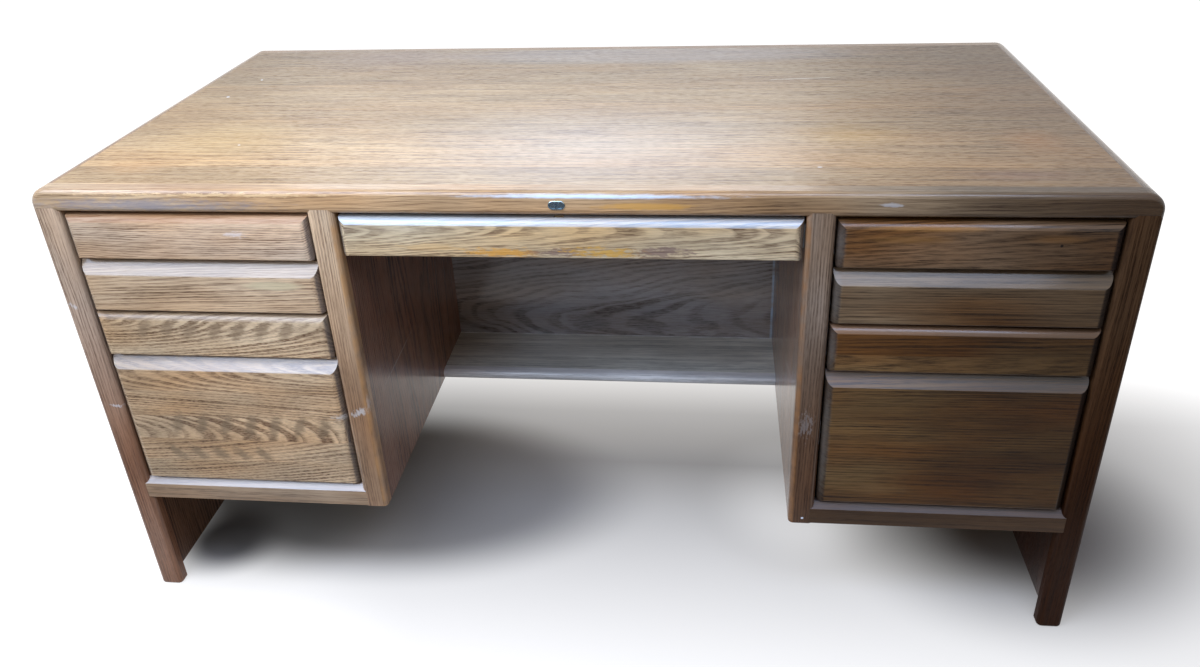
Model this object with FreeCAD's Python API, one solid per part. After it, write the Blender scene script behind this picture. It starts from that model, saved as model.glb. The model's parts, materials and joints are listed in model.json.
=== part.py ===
import FreeCAD, Part
import math
import os

Vec = FreeCAD.Vector

# Double-pedestal office desk. Millimetres, +Z up, +Y towards the back, origin on the
# floor under the middle of the desk.

# Overall size and the top
desk_width = 1524.0
desk_depth = 745.0
desk_height = 755.0
top_thickness = 35.0
band_width = 25.0           # solid bands around the veneered core of the top
top_end_radius = 24.5       # large round along both ends of the top
frame_round = 8.0           # roundover on the posts and on the long edges of the top
cope_share = 0.8            # how far a coped end reaches into its neighbour's roundover

# Face frame, posts and panels
stile_width = 38.0
frame_thickness = 19.0
panel_thickness = 19.0
end_panel_thickness = 25.0
end_panel_lift = 18.0       # clear height under the end panels, between the feet
foot_round = 5.0
kneehole_width = 641.6
pedestal_lift = 199.0       # floor to the underside of the pedestals
rail_height = 38.0
rail_chamfer = 9.0
rail_arris = 1.2
bottom_board_thickness = 12.7
bottom_board_lift = 6.0     # above the underside of the rail

# Modesty panel and the shelf at its foot
modesty_setback = 508.0     # front of the desk to the front face of the panel
shelf_depth = 145.0
shelf_thickness = 19.0
shelf_edge_width = 19.0

# Drawer fronts, named from the top of a pedestal down
front_thickness = 19.0
front_gap = 6.5             # between fronts, and to the top and the bottom rail
front_side_gap = 2.5
first_front_height = 67.0
second_front_height = 80.0
third_front_height = 71.5
centre_front_height = 57.5
narrow_bevel = 9.5
narrow_bevel_bulge = 1.6    # the narrow bevels are crowned too
wide_bevel_height = 21.0
wide_bevel_depth = 16.0
end_bevel_width = 11.5
end_bevel_depth = 12.5
end_bevel_bulge = 3.0       # and so are the end bevels
lower_round = 2.5           # along the foot of the face
brow_round = 3.0            # between the face and its upper bevel
crest_round = 1.2           # between the bevel and the top of the front
finger_groove_height = 8.0  # cove behind the lower lip of a front that is pulled from below
finger_lip = 8.0

# Drawer boxes
board_thickness = 12.7
box_above_front_foot = 6.0
box_below_front_top = 8.0
pedestal_box_length = 520.0
centre_box_length = 420.0
box_bottom_thickness = 6.0
box_bottom_lift = 8.0
groove_depth = 6.0
tail_pitch_target = 24.0
fewest_tails = 2
tail_end_share = 0.36       # half width of a tail at its end, of the pitch
tail_root_share = 0.25      # half width of a tail at its root, of the pitch

# Drawer slides: folded steel channels that nest in one another
slide_depth = 12.7
pedestal_slide_height = 45.0
centre_slide_height = 35.0
slide_gauge = 1.2
slide_running_gap = 0.3
slide_play = 0.5            # between members, across the slide
slide_lip = 3.0
slide_mouth_share = 2 / 3   # depth of the fixed member, of the whole slide
pedestal_slide_length = 508.0
centre_slide_length = 406.0
slide_setback = 2.0         # behind the face frame
cleat_height = 48.0
top_cleat_height = 13.0

# Lock in the middle of the front edge
lock_offset = -9.0          # sideways from the middle of the desk
lock_drop = 19.0            # top surface to the middle of the lock
bezel_width = 23.0
bezel_height = 13.0
bezel_proud = 1.5
bezel_round = 1.0
bezel_rim = 2.0             # around the dished face
bezel_dish = 0.8
barrel_margin = 1.0         # the barrel is this much smaller than the bezel, all round
barrel_length = 23.0
barrel_fit = 0.1
plug_radius = 4.4
plug_fit = 0.08
plug_length = 11.0
plug_proud = 0.4
key_slot_width = 1.6
key_slot_height = 5.6
key_slot_depth = 6.0
bolt_width = 11.0
bolt_thickness = 4.6
bolt_height = 16.0
bolt_fit = 0.3
bolt_rest_gap = 0.5         # the withdrawn bolt ends this far above the edge's underside
strike_clearance = 1.0
strike_depth = 8.0

cut_overrun = 5.0

# Planes that several pieces share
front = -desk_depth / 2
back = desk_depth / 2
half_width = desk_width / 2
top_underside = desk_height - top_thickness
lock_height = desk_height - lock_drop
outer_opening = half_width - stile_width
kneehole_half = kneehole_width / 2
inner_opening = kneehole_half + stile_width
opening_width = outer_opening - inner_opening
pedestal_middle = (outer_opening + inner_opening) / 2
opening_bottom = pedestal_lift + rail_height
frame_back = front + frame_thickness
rear_frame_front = back - frame_thickness
end_panel_face = half_width - end_panel_thickness
kneehole_panel_inside = kneehole_half + panel_thickness


def place(axis, along, a, b):
    """Point at a, b on the plane square to an axis, at a distance along that axis."""
    if axis == "x":
        return Vec(along, a, b)
    if axis == "y":
        return Vec(a, along, b)
    return Vec(a, b, along)


def prism(axis, start, end, outline):
    """Extrude an outline; an entry of two points is an arc by its middle and its end."""
    edges = []
    here = outline[0]
    for step in outline[1:] + [outline[0]]:
        if isinstance(step[0], tuple):
            middle, there = step
            edges.append(Part.Arc(place(axis, start, *here), place(axis, start, *middle),
                                  place(axis, start, *there)).toShape())
        else:
            there = step
            if there != here:
                edges.append(Part.makeLine(place(axis, start, *here), place(axis, start, *there)))
        here = there
    face = Part.Face(Part.Wire(edges))
    return face.extrude(place(axis, end - start, 0, 0))


def block(x0, x1, y0, y1, z0, z1):
    return Part.makeBox(x1 - x0, y1 - y0, z1 - z0, Vec(x0, y0, z0))


def corner_arc(corner, radius, away):
    """Middle point of a quarter round at a corner, away pointing from the corner inwards."""
    inset = radius * (1 - math.sqrt(0.5))
    return (corner[0] + inset * away[0], corner[1] + inset * away[1])


def mirrored(shape):
    return shape.mirror(Vec(0, 0, 0), Vec(1, 0, 0))


def soft_corner(before, corner, after, radius):
    """Start and arc of a round between two straight lines that meet at a corner."""
    lines = [math.atan2(end[1] - corner[1], end[0] - corner[0]) for end in (before, after)]
    half = abs(math.remainder(lines[0] - lines[1], 2 * math.pi)) / 2
    away = radius / math.tan(half)
    start, finish = [
        (corner[0] + away * math.cos(line), corner[1] + away * math.sin(line)) for line in lines]
    centre_line = math.atan2(start[1] + finish[1] - 2 * corner[1], start[0] + finish[0] - 2 * corner[0])
    reach = radius / math.sin(half) - radius
    middle = (corner[0] + reach * math.cos(centre_line), corner[1] + reach * math.sin(centre_line))
    return [start, (middle, finish)]


def front_to_back(shape):
    return shape.mirror(Vec(0, 0, 0), Vec(0, 1, 0))


def stadium(y0, y1, width, height):
    """Upright solid with half-round ends across, centred on the lock's axis."""
    left = lock_offset - width / 2
    right = lock_offset + width / 2
    r = height / 2
    low = lock_height - r
    high = lock_height + r
    return prism("y", y0, y1, [
        (left + r, low), (right - r, low), ((right, lock_height), (right - r, high)),
        (left + r, high), ((left, lock_height), (left + r, low))])


# The top

def long_edge_band():
    """Front band of the top: rounded ends, and rounded along its upper and lower edges."""
    r = top_end_radius
    outline = [
        (-half_width, top_underside), (half_width, top_underside), (half_width, desk_height - r),
        (corner_arc((half_width, desk_height), r, (-1, -1)), (half_width - r, desk_height)),
        (-half_width + r, desk_height),
        (corner_arc((-half_width, desk_height), r, (1, -1)), (-half_width, desk_height - r))]
    band = prism("y", front, front + band_width, outline)
    rim = []
    for edge in band.Edges:
        box = edge.BoundBox
        if abs(box.YMax - front) < frame_round / 2 and box.ZMax > top_underside + frame_round / 2:
            rim.append(edge)
    band = band.makeFillet(frame_round, rim)
    lower = (front, top_underside)
    waste = prism("x", -half_width - cut_overrun, half_width + cut_overrun, [
        (front - cut_overrun, top_underside - cut_overrun),
        (front + frame_round, top_underside - cut_overrun),
        (front + frame_round, top_underside),
        (corner_arc(lower, frame_round, (1, 1)), (front, top_underside + frame_round)),
        (front - cut_overrun, top_underside + frame_round)])
    return band.cut(waste)


def end_edge_band():
    """Right-hand end band of the top, between the front and back bands."""
    inside = half_width - band_width
    r = top_end_radius
    return prism("y", front + band_width, back - band_width, [
        (inside, top_underside), (half_width, top_underside), (half_width, desk_height - r),
        (corner_arc((half_width, desk_height), r, (-1, -1)), (half_width - r, desk_height)),
        (inside, desk_height)])


def top_core():
    inside = half_width - band_width
    return block(-inside, inside, front + band_width, back - band_width, top_underside, desk_height)


# Posts, rails and panels, drawn for the right-hand side

def post(x0, x1, z0):
    """Upright face-frame member with both front edges rounded, up into the band's roundover."""
    r = frame_round
    return prism("z", z0, top_underside + frame_round * cope_share, [
        (x0, frame_back), (x0, front + r), (corner_arc((x0, front), r, (1, 1)), (x0 + r, front)),
        (x1 - r, front), (corner_arc((x1, front), r, (-1, 1)), (x1, front + r)), (x1, frame_back)])


def outer_post(band):
    shape = post(outer_opening, half_width, 0)
    foot = [e for e in shape.Edges if e.BoundBox.ZMax < foot_round / 2]
    return shape.makeFillet(foot_round, foot).cut(band)


def inner_post(band):
    return post(kneehole_half, inner_opening, pedestal_lift).cut(band)


def bottom_rail(posts):
    """Rail under the file drawer, chamfered along its upper edge and coped over the posts."""
    reach = frame_round * cope_share
    shape = prism("x", inner_opening - reach, outer_opening + reach, [
        (front + rail_arris, pedestal_lift), (frame_back, pedestal_lift),
        (frame_back, opening_bottom), (front + rail_chamfer, opening_bottom),
        (front, opening_bottom - rail_chamfer), (front, pedestal_lift + rail_arris)])
    for item in posts:
        shape = shape.cut(item)
    return shape


def end_panel():
    return block(end_panel_face, half_width, frame_back, rear_frame_front, end_panel_lift,
                 top_underside)


def kneehole_panel():
    return block(kneehole_half, kneehole_panel_inside, frame_back, rear_frame_front,
                 pedestal_lift, top_underside)


def pedestal_bottom():
    low = pedestal_lift + bottom_board_lift
    return block(kneehole_panel_inside, end_panel_face, frame_back, rear_frame_front, low,
                 low + bottom_board_thickness)


def pedestal_back():
    return block(kneehole_half, outer_opening, rear_frame_front, back, pedestal_lift, top_underside)


def modesty():
    face = front + modesty_setback
    return block(-kneehole_half, kneehole_half, face, face + panel_thickness, pedestal_lift,
                 top_underside)


def shelf():
    face = front + modesty_setback
    nose = face - shelf_depth + shelf_edge_width
    return block(-kneehole_half, kneehole_half, nose, face, pedestal_lift,
                 pedestal_lift + shelf_thickness)


def shelf_edge():
    """Bullnosed lipping of the shelf."""
    nose = front + modesty_setback - shelf_depth
    join = nose + shelf_edge_width
    r = shelf_thickness / 2
    high = pedestal_lift + shelf_thickness
    return prism("x", -kneehole_half, kneehole_half, [
        (join, pedestal_lift), (join, high), (nose + r, high),
        ((nose, pedestal_lift + r), (nose + r, pedestal_lift))])


# Drawer levels

def front_levels():
    """Lower and upper height of each front in a pedestal, from the top down."""
    levels = []
    upper = top_underside - front_gap
    for height in (first_front_height, second_front_height, third_front_height):
        levels.append((upper - height, upper))
        upper -= height + front_gap
    levels.append((opening_bottom + front_gap, upper))
    return levels


def box_levels(low, high):
    return low + box_above_front_foot, high - box_below_front_top


def slide_middle(low, high):
    box_low, box_high = box_levels(low, high)
    return (box_low + box_high) / 2


# Drawer fronts

def crown(start, finish, bulge, outwards):
    """Middle of an arc that swells by a bulge beyond the straight line between two points."""
    run = finish[0] - start[0]
    rise = finish[1] - start[1]
    swell = outwards * bulge / math.hypot(run, rise)
    return ((start[0] + finish[0]) / 2 + swell * rise, (start[1] + finish[1]) / 2 - swell * run)


def end_profile(x, inwards):
    """Crowned bevel at one end of a front, from the back of the bevel to the face."""
    start = (x, front + end_bevel_depth)
    finish = (x + inwards * end_bevel_width, front)
    return start, crown(start, finish, end_bevel_bulge, inwards), finish


def drawer_front(x0, x1, low, high, wide, pulled_below):
    """Solid front with crowned ends and a wide or a narrow bevel along its upper edge."""
    rear = front + front_thickness
    left = end_profile(x0, 1)
    right = end_profile(x1, -1)
    plan = prism("z", low, high, [
        (x0, rear), left[0], (left[1], left[2]), right[2], (right[1], right[0]), (x1, rear)])
    height = wide_bevel_height if wide else narrow_bevel
    depth = wide_bevel_depth if wide else narrow_bevel
    foot = (front, low)
    brow = (front, high - height)
    crest = (front + depth, high)
    section = [(rear, low)] + soft_corner((rear, low), foot, brow, lower_round)
    if wide:
        section += soft_corner(foot, brow, crest, brow_round)
        section += soft_corner(brow, crest, (rear, high), crest_round)
    else:
        section += [brow, (crown(brow, crest, narrow_bevel_bulge, -1), crest)]
    section.append((rear, high))
    body = plan.common(prism("x", x0, x1, section))
    over = cut_overrun
    if pulled_below:
        lip = front + finger_lip
        cove = finger_groove_height
        body = body.cut(prism("x", x0 - over, x1 + over, [
            (lip, low - over), (lip, low), (corner_arc((lip, low + cove), cove, (1, -1)),
                                            (lip + cove, low + cove)),
            (rear + over, low + cove), (rear + over, low - over)]))
    return body


# Drawer boxes

def side_board(x0, x1, y0, y1, low, high):
    """Side of a drawer box with dovetails at both ends."""
    count = max(fewest_tails, round((high - low) / tail_pitch_target))
    pitch = (high - low) / count
    near = y0 + board_thickness
    far = y1 - board_thickness
    points = [(near, low)]
    points.append((far, low))
    for index in range(count):
        middle = low + (index + 0.5) * pitch
        points.append((far, middle - pitch * tail_root_share))
        points.append((y1, middle - pitch * tail_end_share))
        points.append((y1, middle + pitch * tail_end_share))
        points.append((far, middle + pitch * tail_root_share))
    points.append((far, high))
    points.append((near, high))
    for index in reversed(range(count)):
        middle = low + (index + 0.5) * pitch
        points.append((near, middle + pitch * tail_root_share))
        points.append((y0, middle + pitch * tail_end_share))
        points.append((y0, middle - pitch * tail_end_share))
        points.append((near, middle - pitch * tail_root_share))
    return prism("x", x0, x1, points)


def drawer_box(x0, x1, length, low, high):
    """Two dovetailed sides, inner front, back and a bottom let into grooves."""
    y0 = front + front_thickness
    y1 = y0 + length
    t = board_thickness
    inset = t - groove_depth
    floor_low = low + box_bottom_lift
    floor = block(x0 + inset, x1 - inset, y0 + inset, y1 - inset, floor_low,
                  floor_low + box_bottom_thickness)
    sides = [side_board(x0, x0 + t, y0, y1, low, high), side_board(x1 - t, x1, y0, y1, low, high)]
    ends = [block(x0, x1, y0, y0 + t, low, high), block(x0, x1, y1 - t, y1, low, high)]
    boards = [side.cut(floor) for side in sides]
    for end in ends:
        boards.append(end.cut(sides[0]).cut(sides[1]).cut(floor))
    return boards + [floor]


# Drawer slides. Depth is counted from the cabinet side towards the drawer.

def channel(x_face, towards, y0, length, middle, height, web, mouth, lip, lips_inwards):
    """Folded channel: web at one depth, flanges to the mouth, lips at the flange ends."""
    g = slide_gauge
    step = 1 if mouth > web else -1
    half = height / 2

    def spot(depth, up):
        return (x_face + towards * depth, middle + up)

    if lips_inwards:
        upper = [
            (web, half), (mouth, half), (mouth, half - lip - g), (mouth - step * g, half - lip - g),
            (mouth - step * g, half - g), (web + step * g, half - g)]
    else:
        upper = [
            (web, half), (mouth - step * g, half), (mouth - step * g, half + lip),
            (mouth, half + lip), (mouth, half - g), (web + step * g, half - g)]
    outline = [spot(d, u) for d, u in upper] + [spot(d, -u) for d, u in reversed(upper)]
    return prism("y", y0, y0 + length, outline)


def fixed_member(x_face, towards, middle, height, length):
    return channel(x_face, towards, frame_back + slide_setback, length, middle, height,
                   0, slide_depth * slide_mouth_share, slide_lip, True)


def moving_member(x_face, towards, middle, outside_height, length, behind):
    """Member on the drawer, held behind the lips of the member around it."""
    room = outside_height - 2 * slide_gauge - 2 * slide_running_gap
    height = room - 2 * slide_lip - 2 * slide_gauge
    return channel(x_face, towards, frame_back + slide_setback, length, middle, height,
                   slide_depth, behind, (room - height) / 2, False)


def middle_member(x_face, towards, middle, length):
    """Intermediate member of a full-extension slide."""
    height = pedestal_slide_height - 2 * slide_gauge - 2 * slide_running_gap
    mouth = slide_depth * slide_mouth_share - slide_gauge - slide_play
    return channel(x_face, towards, frame_back + slide_setback, length, middle, height,
                   slide_gauge + slide_play, mouth, slide_lip - slide_gauge, True)


def slide_pair(x_low, x_high, low, high, height, length):
    """Fixed and moving members at both sides of a two-part slide."""
    middle = slide_middle(low, high)
    fixed = []
    moving = []
    behind = slide_gauge + slide_play * 2
    for face, towards in ((x_low, 1), (x_high, -1)):
        fixed.append(fixed_member(face, towards, middle, height, length))
        moving.append(moving_member(face, towards, middle, height, length, behind))
    return fixed, moving


def file_slide_set(x_low, x_high, low, high):
    """Fixed, intermediate and moving members at both sides of a file drawer."""
    middle = slide_middle(low, high)
    fixed = []
    between = []
    moving = []
    inner_height = pedestal_slide_height - 2 * slide_gauge - 2 * slide_running_gap
    behind = 2 * slide_gauge + slide_play * 2
    for face, towards in ((x_low, 1), (x_high, -1)):
        fixed.append(fixed_member(face, towards, middle, pedestal_slide_height,
                                  pedestal_slide_length))
        between.append(middle_member(face, towards, middle, pedestal_slide_length))
        moving.append(moving_member(face, towards, middle, inner_height, pedestal_slide_length,
                                    behind))
    return fixed, between, moving


def cleats_at(low, high):
    """Spacers behind the slides of one pedestal drawer."""
    middle = slide_middle(low, high)
    y0 = frame_back
    y1 = frame_back + slide_setback + pedestal_slide_length
    z0 = middle - cleat_height / 2
    z1 = middle + cleat_height / 2
    return [block(kneehole_panel_inside, inner_opening, y0, y1, z0, z1),
            block(outer_opening, end_panel_face, y0, y1, z0, z1)]


def top_battens():
    z0 = top_underside - top_cleat_height
    return [block(kneehole_panel_inside, inner_opening, frame_back, rear_frame_front, z0,
                  top_underside),
            block(outer_opening, end_panel_face, frame_back, rear_frame_front, z0, top_underside)]


# The lock

def lock_barrel(grow):
    width = bezel_width - 2 * barrel_margin + 2 * grow
    height = bezel_height - 2 * barrel_margin + 2 * grow
    return stadium(front - grow, front + barrel_length + grow, width, height)


def bolt_shape(z_low, z_high, grow):
    """Flat bolt behind the plug, with grow added on each side."""
    y0 = front + plug_length + plug_fit + bolt_fit
    return block(lock_offset - bolt_width / 2 - grow, lock_offset + bolt_width / 2 + grow,
                 y0 - grow, y0 + bolt_thickness + grow, z_low, z_high)


def lock_parts():
    bolt_low = top_underside + bolt_rest_gap
    bolt_high = bolt_low + bolt_height
    bezel = stadium(front - bezel_proud, front, bezel_width, bezel_height)
    rim = [e for e in bezel.Edges if abs(e.BoundBox.YMax - (front - bezel_proud)) < bezel_round / 2]
    bezel = bezel.makeFillet(bezel_round, rim)
    barrel = stadium(front, front + barrel_length, bezel_width - 2 * barrel_margin,
                     bezel_height - 2 * barrel_margin)
    case = bezel.fuse(barrel).removeSplitter()
    dish_width = bezel_width - 2 * bezel_rim
    dish_height = bezel_height - 2 * bezel_rim
    case = case.cut(stadium(front - bezel_proud - cut_overrun, front - bezel_proud + bezel_dish,
                            dish_width, dish_height))
    hole = Part.makeCylinder(plug_radius + plug_fit, plug_length + plug_fit + cut_overrun,
                             Vec(lock_offset, front - cut_overrun, lock_height), Vec(0, 1, 0))
    case = case.cut(hole)
    case = case.cut(bolt_shape(top_underside - cut_overrun, bolt_high + bolt_fit, bolt_fit))
    nose = front - bezel_proud + bezel_dish - plug_proud
    plug = Part.makeCylinder(plug_radius, front + plug_length - nose,
                             Vec(lock_offset, nose, lock_height), Vec(0, 1, 0))
    slot = block(lock_offset - key_slot_width / 2, lock_offset + key_slot_width / 2,
                 nose - cut_overrun, nose + key_slot_depth, lock_height - key_slot_height / 2,
                 lock_height + key_slot_height / 2)
    return case, plug.cut(slot), bolt_shape(bolt_low, bolt_high, 0)


def edge_with_lock(band):
    """Front band with the lock's oval bore and the bolt's slot."""
    bolt_low = top_underside - cut_overrun
    slot = bolt_shape(bolt_low, lock_height, bolt_fit)
    return band.cut(lock_barrel(barrel_fit)).cut(slot)


def strike(front_board, high):
    """Mortise for the bolt in the top of the centre drawer's front."""
    return front_board.cut(bolt_shape(high - strike_depth, high + cut_overrun, strike_clearance))


# Assembly

def desk():
    nodes = {}
    plain_band = long_edge_band()
    nodes["top_panel"] = [top_core()]
    nodes["top_front_edge"] = [edge_with_lock(plain_band)]
    nodes["top_back_edge"] = [front_to_back(plain_band)]
    nodes["top_right_edge"] = [end_edge_band()]
    nodes["right_end_panel"] = [end_panel()]
    nodes["right_front_stile"] = [outer_post(plain_band)]
    nodes["right_inner_stile"] = [inner_post(plain_band)]
    posts = nodes["right_front_stile"] + nodes["right_inner_stile"]
    nodes["right_bottom_rail"] = [bottom_rail(posts)]
    nodes["right_rear_stile"] = [front_to_back(nodes["right_front_stile"][0])]
    nodes["right_kneehole_panel"] = [kneehole_panel()]
    nodes["right_pedestal_bottom"] = [pedestal_bottom()]
    nodes["right_pedestal_back"] = [pedestal_back()]

    cleats = []
    fixed_members = []
    fronts = front_levels()
    names = ("drawer_1", "drawer_2", "drawer_3", "file_drawer")
    for name, (low, high) in zip(names, fronts):
        wide = name in ("drawer_2", "file_drawer")
        pulled_below = name in ("drawer_1", "drawer_3")
        nodes["right_" + name + "_front"] = [drawer_front(
            inner_opening + front_side_gap, outer_opening - front_side_gap, low, high, wide,
            pulled_below)]
        box_low, box_high = box_levels(low, high)
        nodes["right_" + name + "_box"] = drawer_box(
            inner_opening + slide_depth, outer_opening - slide_depth, pedestal_box_length,
            box_low, box_high)
        if name == "file_drawer":
            fixed, between, moving = file_slide_set(inner_opening, outer_opening, low, high)
            nodes["right_file_slide_middles"] = between
        else:
            fixed, moving = slide_pair(inner_opening, outer_opening, low, high,
                                       pedestal_slide_height, pedestal_slide_length)
        nodes["right_" + name + "_slides"] = moving
        fixed_members += fixed
        cleats += cleats_at(low, high)
    battens = top_battens()

    for name in [n for n in nodes if n.startswith("right_") or n == "top_right_edge"]:
        nodes[name.replace("right", "left")] = [mirrored(shape) for shape in nodes[name]]

    nodes["slide_cleats"] = cleats + [mirrored(shape) for shape in cleats]
    nodes["top_cleats"] = battens + [mirrored(shape) for shape in battens]
    nodes["modesty_panel"] = [modesty()]
    nodes["kneehole_shelf"] = [shelf()]
    nodes["kneehole_shelf_edge"] = [shelf_edge()]

    high = top_underside - front_gap
    low = high - centre_front_height
    reach = kneehole_half - front_side_gap
    centre_front = drawer_front(-reach, reach, low, high, False, False)
    nodes["centre_drawer_front"] = [strike(centre_front, high)]
    box_reach = kneehole_half - slide_depth
    box_low, box_high = box_levels(low, high)
    nodes["centre_drawer_box"] = drawer_box(-box_reach, box_reach, centre_box_length, box_low,
                                            box_high)
    fixed, moving = slide_pair(-kneehole_half, kneehole_half, low, high, centre_slide_height,
                               centre_slide_length)
    nodes["centre_drawer_slides"] = moving
    nodes["cabinet_slide_members"] = (fixed_members + [mirrored(s) for s in fixed_members] + fixed)

    case, plug, bolt = lock_parts()
    nodes["lock_case"] = [case]
    nodes["lock_plug"] = [plug]
    nodes["lock_bolt"] = [bolt]
    return nodes


def write(nodes):
    os.makedirs("parts", exist_ok=True)
    for name, solids in nodes.items():
        pieces = []
        for shape in solids:
            pieces += shape.Solids
        shape = pieces[0] if len(pieces) == 1 else Part.makeCompound(pieces)
        shape.exportStep("parts/" + name + ".step")
        box = shape.BoundBox
        print(f"{name:28s} solids {len(pieces):2d}  volume {shape.Volume:12.1f}  valid {shape.isValid()}"
              f"  x {box.XMin:8.1f} {box.XMax:8.1f}  y {box.YMin:8.1f} {box.YMax:8.1f}"
              f"  z {box.ZMin:7.1f} {box.ZMax:7.1f}")
    print(len(nodes), "nodes")


write(desk())
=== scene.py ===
import json
import math

import bpy
from mathutils import Matrix, Vector

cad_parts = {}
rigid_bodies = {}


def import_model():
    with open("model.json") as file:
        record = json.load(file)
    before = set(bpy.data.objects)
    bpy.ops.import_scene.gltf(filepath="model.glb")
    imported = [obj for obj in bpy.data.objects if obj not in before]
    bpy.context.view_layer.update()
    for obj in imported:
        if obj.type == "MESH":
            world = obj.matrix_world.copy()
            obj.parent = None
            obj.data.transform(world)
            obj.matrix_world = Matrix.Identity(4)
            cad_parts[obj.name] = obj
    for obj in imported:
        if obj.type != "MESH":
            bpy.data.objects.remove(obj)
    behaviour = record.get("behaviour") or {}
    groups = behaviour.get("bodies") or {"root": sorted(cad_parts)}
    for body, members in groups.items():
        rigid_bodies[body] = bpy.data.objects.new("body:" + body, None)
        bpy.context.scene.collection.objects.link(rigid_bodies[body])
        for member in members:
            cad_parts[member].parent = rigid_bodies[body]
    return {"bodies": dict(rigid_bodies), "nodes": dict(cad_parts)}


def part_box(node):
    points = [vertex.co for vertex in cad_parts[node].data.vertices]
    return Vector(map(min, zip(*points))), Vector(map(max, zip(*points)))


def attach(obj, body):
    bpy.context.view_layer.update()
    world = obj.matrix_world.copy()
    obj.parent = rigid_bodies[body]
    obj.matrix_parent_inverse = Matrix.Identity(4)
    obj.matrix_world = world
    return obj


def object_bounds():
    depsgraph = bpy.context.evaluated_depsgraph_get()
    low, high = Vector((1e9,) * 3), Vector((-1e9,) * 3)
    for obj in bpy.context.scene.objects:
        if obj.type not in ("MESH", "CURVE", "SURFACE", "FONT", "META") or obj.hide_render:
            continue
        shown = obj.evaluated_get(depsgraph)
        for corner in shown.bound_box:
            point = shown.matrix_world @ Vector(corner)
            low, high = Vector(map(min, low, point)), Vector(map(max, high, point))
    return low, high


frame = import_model()
cadNodes = frame["nodes"]
cadLow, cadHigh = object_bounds()
mm = 0.001
print("frame loaded", len(cadNodes), "nodes")


def hexColour(code):
    channels = []
    for start in (1, 3, 5):
        share = int(code[start:start + 2], 16) / 255
        channels.append(share / 12.92 if share <= 0.04045 else ((share + 0.055) / 1.055) ** 2.4)
    return (*channels, 1.0)


# Adds a node with its settings and links and gives one of its outputs. Inputs go by name or number:
# Map Range has 0 value, 1 and 2 from, 3 and 4 to; Mix has 0 share, 6 and 7 colours.
def addNode(tree, kind, inputs, give=0, **settings):
    node = tree.nodes.new(kind)
    for name, value in settings.items():
        setattr(node, name, value)
    for socket, value in inputs.items():
        if isinstance(value, bpy.types.NodeSocket):
            tree.links.new(value, node.inputs[socket])
        else:
            node.inputs[socket].default_value = value
    return node.outputs[give] if len(node.outputs) else node


def newMaterial(name):
    material = bpy.data.materials.new(name)
    material.use_nodes = True
    material.node_tree.nodes.clear()
    return material, material.node_tree


def finishMaterial(tree, shader):
    addNode(tree, "ShaderNodeOutputMaterial", {"Surface": shader})


def dress(material, *names):
    for name in names:
        slots = cadNodes[name].data.materials
        slots.clear()
        slots.append(material)


# Red oak, stained brown under thin satin lacquer. The eye sees growth rings with dark, open pores and
# a soft sheen over them. The rings are cylinders around a pith line that runs near each board, so
# flat-cut faces show flames and rift-cut ones show straight lines. Lengths are in mm.
oak = {
    "along": "x",                          # the axis that the grain follows
    "pith": (60.0, 0.0),                   # the pith line's place on the two axes across the grain
    "lean": (0.05, 0.01), "middle": 0.0,   # how far it leans on them per length, counted from the middle
    "ring": 4.4, "wander": 7.0, "ripple": 0.9,      # a year's growth, and how far rings stray and ripple
    "leaves": None, "marks": (), "panes": (), "seams": (),
    "pale": "#dfc9ad", "dark": "#6a4f39", "warm": "#cb975a", "stain": "#ffffff",
    "earlyShare": 0.90, "poreShare": 0.24, "blotchShare": 0.55, "fibreShare": 0.36, "drift": 0.16,
    "poreWide": 1.1, "poreLong": 22.0, "fibreWide": 1.9, "bump": 0.5, "bumpHigh": 0.25,
    # slopeSheen is a painted sheen on slopes that face up, with some dust
    "slopeSheen": 0.0, "slopeSheenColour": "#9b846c",
    "endGrain": "#4a4746", "sawnFrom": (0.45, 0.75), "sawnStain": 0.72, "sawnCoat": 0.2,
    "rough": 0.42, "poreRough": 0.22, "coat": 0.8, "coatRough": 0.17, "gloss": 0.2, "index": 1.5}

# What all the oak has in common. Rates are changes per metre, along the grain and across it, and the
# ranges are the part of each noise that counts.
figure = {
    "wanderRate": (3.0, 10.0), "rippleRate": (24.0, 90.0), "boldRate": (6.0, 26.0), "fibreRate": 9.0,
    "blotchRate": (3.2, 12.0), "driftRate": (5.0, 22.0), "yearRate": 45.0, "yearSpread": 1.3,
    "poreRange": (0.44, 0.60), "fibreRange": (0.25, 0.75), "patchRange": (0.3, 0.6),
    "boldRange": (0.36, 0.62), "blotchRange": (0.38, 0.66), "driftRange": (0.35, 0.65),
    "wornRange": (0.35, 0.6), "slopeSheenSlopes": (0.15, 0.5),
    "springShares": (0.35, 0.85), "springFade": 0.3, "springOnset": 0.88, "springDepths": (0.55, 1.0),
    "faintShare": 0.5, "filledShare": 0.72, "strayShare": 0.5, "liftShare": 1.25,
    "leafSpan": 400.0,      # how far a leaf's pith can be shifted in all, mm
    "leafSlip": 3.7}        # how far a leaf is slipped along the grain per unit of its tone, m


# A named range as the from values of a Map Range node
def fromRange(name):
    low, high = figure[name]
    return {1: low, 2: high}


# Noise drawn out along the grain
def grainNoise(tree, grain, rate, detail, roughness=0.5, give=0):
    drawn = addNode(tree, "ShaderNodeVectorMath", {0: grain, 1: (rate[0], rate[1], rate[1])},
                    operation="MULTIPLY")
    return addNode(tree, "ShaderNodeTexNoise", {
        "Vector": drawn, "Scale": 1.0, "Detail": detail, "Roughness": roughness}, give=give)


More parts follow.
